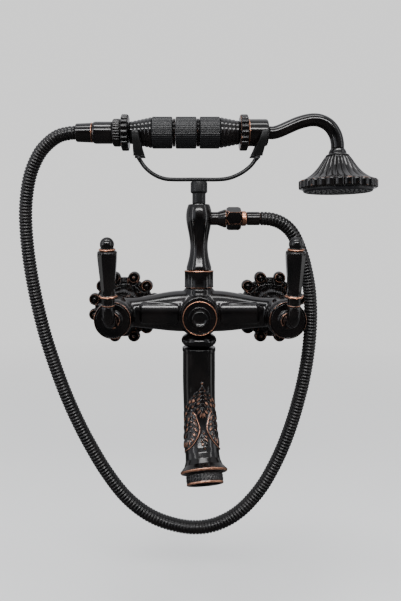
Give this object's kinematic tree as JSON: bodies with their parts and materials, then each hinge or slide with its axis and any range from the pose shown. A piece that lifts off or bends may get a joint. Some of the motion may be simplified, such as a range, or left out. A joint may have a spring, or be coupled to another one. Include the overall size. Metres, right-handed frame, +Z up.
{
  "type": "wall mounted bath faucet",
  "caption": "Wall mounted bath mixer with two lever handles, a curved spout and a telephone hand shower resting in a cradle, joined by a ribbed hose.",
  "frame": {"origin": "on the wall plane, midway between the two inlets, at the height of the mixer body's centre line", "axes": "+Z up, +Y into the wall, -Y out towards the person using it, +X to that person's right"},
  "size_m": [0.3343, 0.1472, 0.4034],
  "materials": {
    "dark_bronze": "near-black oil-rubbed bronze, glossy, copper worn through at the edges",
    "brass": "plain turned brass",
    "copper_ring": "worn copper",
    "matte_black": "satin black coating",
    "prong_sleeve": "matte black sleeve",
    "hose": "black corrugated hose",
    "gasket": "matte",
    "cartridge": "matte",
    "rose_face": "black nozzle plate"
  },
  "bodies": {
    "mixer": {"wall_union_left": "brass", "rosette_left": "dark_bronze", "union_nut_left": "dark_bronze", "union_gasket_left": "gasket", "valve_cartridge_left": "cartridge", "wall_union_right": "brass", "rosette_right": "dark_bronze", "union_nut_right": "dark_bronze", "union_gasket_right": "gasket", "valve_cartridge_right": "cartridge", "mixer_body": "dark_bronze", "diverter_cartridge": "cartridge", "diverter_dial": "dark_bronze", "riser_collar": "dark_bronze", "riser": "dark_bronze", "hose_nut": "dark_bronze", "hose_ring": "copper_ring", "hose_sleeve": "dark_bronze", "cradle_post": "matte_black", "cradle_yoke": "matte_black", "spout_nut": "dark_bronze", "hose": "hose", "cradle_prong_left_front": "prong_sleeve", "cradle_prong_left_rear": "prong_sleeve", "cradle_prong_right_front": "prong_sleeve", "cradle_prong_right_rear": "prong_sleeve"},
    "lever_left": {"valve_spindle_left": "brass", "handle_hub_left": "dark_bronze", "lever_stem_left": "dark_bronze", "lever_grip_left": "dark_bronze", "lever_finial_left": "dark_bronze"},
    "lever_right": {"valve_spindle_right": "brass", "handle_hub_right": "dark_bronze", "lever_stem_right": "dark_bronze", "lever_grip_right": "dark_bronze", "lever_finial_right": "dark_bronze"},
    "diverter": {"diverter_knob": "dark_bronze"},
    "spout": {"spout": "dark_bronze", "aerator": "brass"},
    "handset": {"hose_cone": "dark_bronze", "handset_tail": "dark_bronze", "handset_fluted_ring": "dark_bronze", "handset_lobed_ring_rear": "dark_bronze", "handset_taper_rear": "dark_bronze", "handset_grip_1": "matte_black", "handset_grip_ring_1": "dark_bronze", "handset_grip_2": "matte_black", "handset_grip_ring_2": "dark_bronze", "handset_grip_3": "matte_black", "handset_taper_front": "dark_bronze", "handset_lobed_ring_front": "dark_bronze", "handset_cup": "dark_bronze", "handset_neck": "dark_bronze", "rose_collar": "dark_bronze", "rose_bell": "dark_bronze", "rose_face": "rose_face"}
  },
  "joints": [
    {"name": "lever_left_turn", "type": "hinge", "parent": "mixer", "child": "lever_left", "pos_m": [-0.075, -0.09, 0], "axis": [0, -1, 0], "range_deg": [0, 90]},
    {"name": "lever_right_turn", "type": "hinge", "parent": "mixer", "child": "lever_right", "pos_m": [0.075, -0.09, 0], "axis": [0, 1, 0], "range_deg": [0, 90]},
    {"name": "diverter_turn", "type": "hinge", "parent": "mixer", "child": "diverter", "pos_m": [0, -0.084, 0], "axis": [0, -1, 0], "range_deg": [0, 90]},
    {"name": "spout_swivel", "type": "hinge", "parent": "mixer", "child": "spout", "pos_m": [0, -0.06, -0.0295], "axis": [0, 0, 1], "range_deg": [-60, 60]},
    {"name": "handset_lift", "type": "slide", "parent": "mixer", "child": "handset", "axis": [0, 0, 1], "range_m": [0, 0.05], "deforming": ["hose"]}
  ]
}
